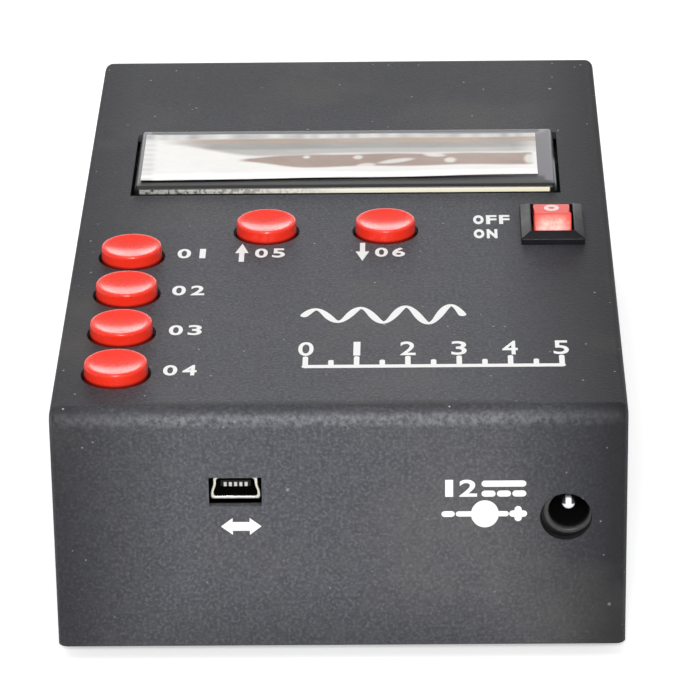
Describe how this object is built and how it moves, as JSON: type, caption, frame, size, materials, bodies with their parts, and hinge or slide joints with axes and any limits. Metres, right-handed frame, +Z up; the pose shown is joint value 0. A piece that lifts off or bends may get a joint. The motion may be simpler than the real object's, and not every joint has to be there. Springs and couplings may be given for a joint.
{
  "type": "antenna analyzer",
  "caption": "Hand-held antenna analyzer: black folded-steel box with display window, red push buttons, rocker power switch, power and data sockets in front, coaxial socket behind.",
  "frame": {"origin": "on the table, under the middle of the overall box (case and rear socket)", "axes": "+X to the right seen from the front face with the two sockets, +Y to the rear along the length, +Z up out of the keyed top"},
  "size_m": [0.088, 0.1638, 0.047],
  "materials": {
    "powder_coat": "black fine-texture powder coat over folded steel",
    "powder_coat_tray": "black powder coat",
    "blackened_steel": "black oxide",
    "zinc_steel": "bright zinc plate",
    "rubber": "matt",
    "board_green": "solder mask over glass-fibre laminate",
    "brass": "drawn brass",
    "nickel": "nickel plate",
    "tinned": "tin plate",
    "black_nylon": "black moulded nylon",
    "bezel_steel": "plain pressed steel",
    "bezel_paint": "gloss black paint over pressed steel",
    "lcd_glass": "display glass",
    "light_guide": "diffusing acrylic",
    "zebra_rubber": "layered silicone",
    "film": "glossy protective film",
    "red_cap": "moulded red plastic",
    "stem": "moulded plastic",
    "rocker_red": "moulded red plastic",
    "lead": "PVC sleeve",
    "ptfe": "white PTFE",
    "chip_black": "moulded epoxy",
    "can": "drawn can",
    "ferrite": "ferrite"
  },
  "bodies": {
    "case": {"top_cover": "powder_coat", "base_tray": "powder_coat_tray", "clinch_nuts": "zinc_steel", "cover_screws": "blackened_steel", "rubber_feet": "rubber", "main_board": "board_green", "board_standoffs": "brass", "board_screws": "zinc_steel", "lcd_board": "board_green", "lcd_spacers": "black_nylon", "lcd_screws": "zinc_steel", "lcd_nuts": "zinc_steel", "lcd_header_strip": "black_nylon", "lcd_header_pins": "tinned", "lcd_bezel": "bezel_paint", "lcd_glass": "lcd_glass", "lcd_contact_strips": "zebra_rubber", "lcd_backlight": "light_guide", "lcd_film": "film", "switch_bases": "black_nylon", "switch_plates": "tinned", "switch_legs": "tinned", "switch_domes": "bezel_steel", "rocker_housing": "black_nylon", "rocker_terminals": "brass", "rocker_leads": "lead", "dc_jack_body": "black_nylon", "dc_jack_pin": "nickel", "dc_jack_spring": "nickel", "usb_shell": "tinned", "usb_tongue": "black_nylon", "usb_contacts": "brass", "antenna_socket_shell": "nickel", "antenna_socket_insulator": "ptfe", "antenna_socket_contact": "brass", "antenna_socket_screws": "blackened_steel", "antenna_socket_nuts": "zinc_steel", "antenna_lead": "lead", "processor_chip": "chip_black", "signal_chip": "chip_black", "amplifier_chips": "chip_black", "voltage_regulators": "chip_black", "crystal_can": "can", "filter_capacitors": "can", "toroid_coils": "ferrite"},
    "button_1": {"button_cap_1": "red_cap", "button_stem_1": "stem"},
    "button_2": {"button_cap_2": "red_cap", "button_stem_2": "stem"},
    "button_3": {"button_cap_3": "red_cap", "button_stem_3": "stem"},
    "button_4": {"button_cap_4": "red_cap", "button_stem_4": "stem"},
    "button_up": {"button_cap_up": "red_cap", "button_stem_up": "stem"},
    "button_down": {"button_cap_down": "red_cap", "button_stem_down": "stem"},
    "rocker": {"rocker_button": "rocker_red", "rocker_plunger": "black_nylon"},
    "contact_arm": {"rocker_contact_arm": "brass"}
  },
  "joints": [
    {"name": "button_1_press", "type": "slide", "parent": "case", "child": "button_1", "axis": [0, 0, -1], "range_m": [0, 0.0003], "stiffness_N_per_m": 4000, "springref_m": -0.0001},
    {"name": "button_2_press", "type": "slide", "parent": "case", "child": "button_2", "axis": [0, 0, -1], "range_m": [0, 0.0003], "stiffness_N_per_m": 4000, "springref_m": -0.0001},
    {"name": "button_3_press", "type": "slide", "parent": "case", "child": "button_3", "axis": [0, 0, -1], "range_m": [0, 0.0003], "stiffness_N_per_m": 4000, "springref_m": -0.0001},
    {"name": "button_4_press", "type": "slide", "parent": "case", "child": "button_4", "axis": [0, 0, -1], "range_m": [0, 0.0003], "stiffness_N_per_m": 4000, "springref_m": -0.0001},
    {"name": "button_up_press", "type": "slide", "parent": "case", "child": "button_up", "axis": [0, 0, -1], "range_m": [0, 0.0003], "stiffness_N_per_m": 4000, "springref_m": -0.0001},
    {"name": "button_down_press", "type": "slide", "parent": "case", "child": "button_down", "axis": [0, 0, -1], "range_m": [0, 0.0003], "stiffness_N_per_m": 4000, "springref_m": -0.0001},
    {"name": "rocker_tilt", "type": "hinge", "parent": "case", "child": "rocker", "pos_m": [0.0344, -0.0132, 0.0424], "axis": [1, 0, 0], "range_deg": [0, 28]},
    {"name": "contact_arm_tilt", "type": "hinge", "parent": "case", "child": "contact_arm", "pos_m": [0.0344, -0.0132, 0.035], "axis": [1, 0, 0], "range_deg": [-16, 0]}
  ],
  "couplings": [
    {"joint": "contact_arm_tilt", "follows": "rocker_tilt", "ratio": -0.5714}
  ]
}
